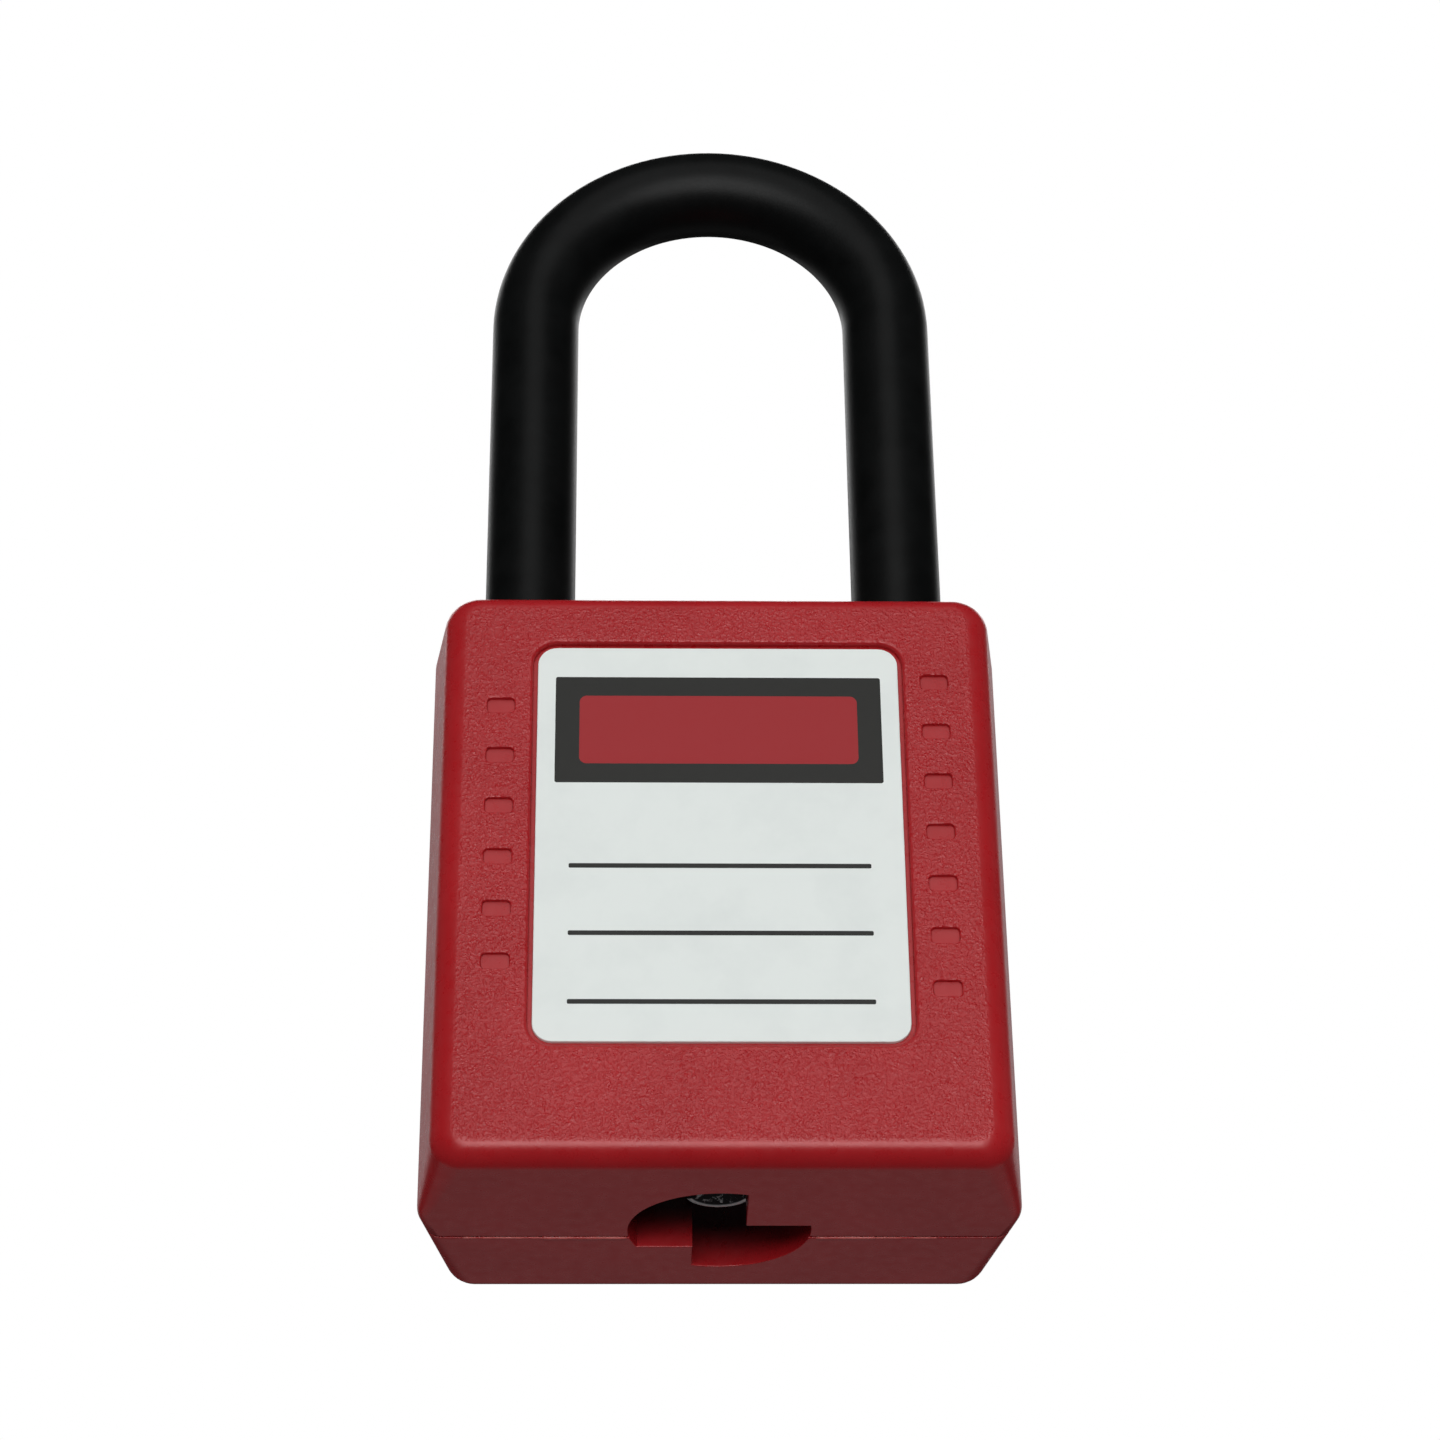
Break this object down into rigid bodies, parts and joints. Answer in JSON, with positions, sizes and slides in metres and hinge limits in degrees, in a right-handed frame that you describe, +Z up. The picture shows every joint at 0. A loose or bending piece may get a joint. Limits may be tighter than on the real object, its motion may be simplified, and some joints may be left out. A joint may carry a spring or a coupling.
{
  "type": "safety padlock",
  "caption": "Lockout padlock with a moulded red body, black nylon bow shackle, blank write-on label and a key opening in the bottom.",
  "frame": {"origin": "centre of the body's bottom face, on the surface that it stands on", "axes": "+Z up along the shackle's legs, +X towards the toe leg, -Y out of the front face with the label"},
  "size_m": [0.0388, 0.0212, 0.087],
  "materials": {
    "red_plastic": "fine moulded grain",
    "label": "smooth white film",
    "black_nylon": "satin moulded nylon",
    "spring_steel": "drawn wire",
    "zinc": "die-cast zinc, plated",
    "steel": "ground pin",
    "brass": "turned brass",
    "natural_nylon": "natural moulded nylon"
  },
  "bodies": {
    "case": {"front_shell": "red_plastic", "rear_cover": "red_plastic", "front_label": "label", "rear_label": "label", "shackle_spring": "spring_steel", "heel_stop_pin": "steel", "cylinder_housing": "zinc", "chamber_cover": "brass", "cam_cup": "natural_nylon", "bolt_block": "natural_nylon", "driver_spring_1": "spring_steel", "driver_spring_2": "spring_steel", "driver_spring_3": "spring_steel", "driver_spring_4": "spring_steel", "driver_spring_5": "spring_steel"},
    "shackle": {"shackle": "black_nylon"},
    "plug": {"plug": "zinc", "plug_clip": "spring_steel", "scroll_cam": "zinc"},
    "toe_bolt": {"toe_bolt": "zinc"},
    "heel_bolt": {"heel_bolt": "zinc"},
    "key_pin_1": {"key_pin_1": "brass"},
    "key_pin_2": {"key_pin_2": "brass"},
    "key_pin_3": {"key_pin_3": "brass"},
    "key_pin_4": {"key_pin_4": "brass"},
    "key_pin_5": {"key_pin_5": "brass"},
    "driver_pin_1": {"driver_pin_1": "steel"},
    "driver_pin_2": {"driver_pin_2": "steel"},
    "driver_pin_3": {"driver_pin_3": "steel"},
    "driver_pin_4": {"driver_pin_4": "steel"},
    "driver_pin_5": {"driver_pin_5": "steel"}
  },
  "joints": [
    {"name": "shackle_lift", "type": "slide", "parent": "case", "child": "shackle", "axis": [0, 0, 1], "range_m": [0, 0.012], "deforming": ["shackle_spring"]},
    {"name": "plug_turn", "type": "hinge", "parent": "case", "child": "plug", "pos_m": [0, 0.0014, 0.015], "axis": [0, 0, 1], "range_deg": [0, 90]},
    {"name": "toe_bolt_slide", "type": "slide", "parent": "case", "child": "toe_bolt", "axis": [1, 0, 0], "range_m": [0, 0.002]},
    {"name": "heel_bolt_slide", "type": "slide", "parent": "case", "child": "heel_bolt", "axis": [-1, 0, 0], "range_m": [0, 0.002]},
    {"name": "key_pin_1_slide", "type": "slide", "parent": "plug", "child": "key_pin_1", "axis": [1, 0, 0], "range_m": [0, 0.001]},
    {"name": "key_pin_2_slide", "type": "slide", "parent": "plug", "child": "key_pin_2", "axis": [1, 0, 0], "range_m": [0, 0.001]},
    {"name": "key_pin_3_slide", "type": "slide", "parent": "plug", "child": "key_pin_3", "axis": [1, 0, 0], "range_m": [0, 0.001]},
    {"name": "key_pin_4_slide", "type": "slide", "parent": "plug", "child": "key_pin_4", "axis": [1, 0, 0], "range_m": [0, 0.001]},
    {"name": "key_pin_5_slide", "type": "slide", "parent": "plug", "child": "key_pin_5", "axis": [1, 0, 0], "range_m": [0, 0.001]},
    {"name": "driver_pin_1_slide", "type": "slide", "parent": "case", "child": "driver_pin_1", "axis": [0, -1, 0], "range_m": [0, 0.001], "deforming": ["driver_spring_1"]},
    {"name": "driver_pin_2_slide", "type": "slide", "parent": "case", "child": "driver_pin_2", "axis": [0, -1, 0], "range_m": [0, 0.001], "deforming": ["driver_spring_2"]},
    {"name": "driver_pin_3_slide", "type": "slide", "parent": "case", "child": "driver_pin_3", "axis": [0, -1, 0], "range_m": [0, 0.001], "deforming": ["driver_spring_3"]},
    {"name": "driver_pin_4_slide", "type": "slide", "parent": "case", "child": "driver_pin_4", "axis": [0, -1, 0], "range_m": [0, 0.001], "deforming": ["driver_spring_4"]},
    {"name": "driver_pin_5_slide", "type": "slide", "parent": "case", "child": "driver_pin_5", "axis": [0, -1, 0], "range_m": [0, 0.001], "deforming": ["driver_spring_5"]}
  ],
  "couplings": [
    {"joint": "plug_turn", "follows": "toe_bolt_slide", "rad_per_m": 785.4},
    {"joint": "heel_bolt_slide", "follows": "toe_bolt_slide", "ratio": 1}
  ]
}
